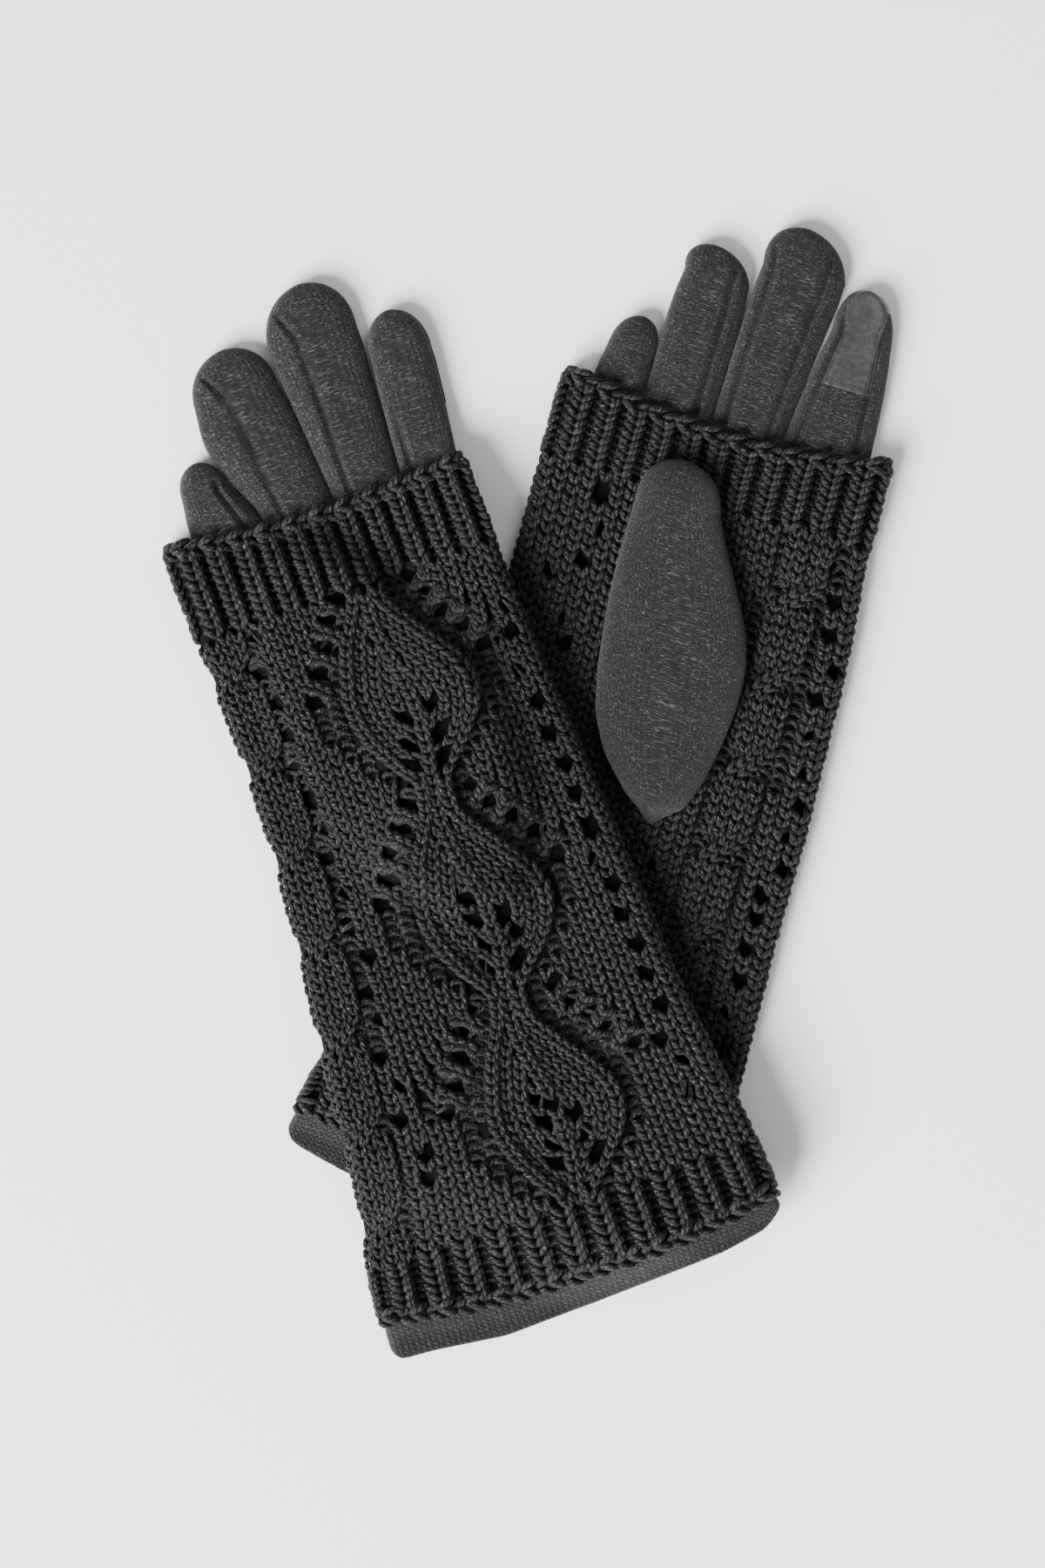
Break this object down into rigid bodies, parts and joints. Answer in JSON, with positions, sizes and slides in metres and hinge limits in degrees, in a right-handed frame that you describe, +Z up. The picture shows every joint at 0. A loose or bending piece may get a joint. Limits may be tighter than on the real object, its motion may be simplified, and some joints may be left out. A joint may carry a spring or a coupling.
{
  "type": "pair of layered knit gloves",
  "caption": "Pair of long winter gloves laid flat and crossed: a jersey five-finger glove under a fingerless lace-knit sleeve with ribbed ends, one palm up and one back up.",
  "frame": {"origin": "centre of the pair's outline, on the table that it lies on", "axes": "+Z up from the table, +Y towards the fingertips along the table, +X to the right when the pair is seen from above with the fingers away from the viewer"},
  "size_m": [0.2344, 0.3622, 0.0307],
  "materials": {
    "lace_knit_yarn": "matt charcoal melange yarn, lace and rib knit",
    "brushed_jersey": "matt heathered grey brushed jersey",
    "touch_patch_cloth": "smooth, slightly shiny grey touch-screen cloth"
  },
  "bodies": {
    "root": {"left_fourchette_1": "brushed_jersey", "left_fourchette_2": "brushed_jersey", "left_fourchette_3": "brushed_jersey", "left_glove_back": "brushed_jersey", "left_glove_palm": "brushed_jersey", "left_sleeve_hand_rib_back": "lace_knit_yarn", "left_sleeve_hand_rib_palm": "lace_knit_yarn", "left_sleeve_lace_back": "lace_knit_yarn", "left_sleeve_lace_palm": "lace_knit_yarn", "left_sleeve_wrist_rib_back": "lace_knit_yarn", "left_sleeve_wrist_rib_palm": "lace_knit_yarn", "left_thumb_back": "brushed_jersey", "left_thumb_front": "brushed_jersey", "left_tip_patch": "touch_patch_cloth", "right_fourchette_1": "brushed_jersey", "right_fourchette_2": "brushed_jersey", "right_fourchette_3": "brushed_jersey", "right_glove_back": "brushed_jersey", "right_glove_palm": "brushed_jersey", "right_sleeve_hand_rib_back": "lace_knit_yarn", "right_sleeve_hand_rib_palm": "lace_knit_yarn", "right_sleeve_lace_back": "lace_knit_yarn", "right_sleeve_lace_palm": "lace_knit_yarn", "right_sleeve_wrist_rib_back": "lace_knit_yarn", "right_sleeve_wrist_rib_palm": "lace_knit_yarn", "right_thumb_back": "brushed_jersey", "right_thumb_front": "brushed_jersey", "right_tip_patch": "touch_patch_cloth"}
  },
  "joints": []
}
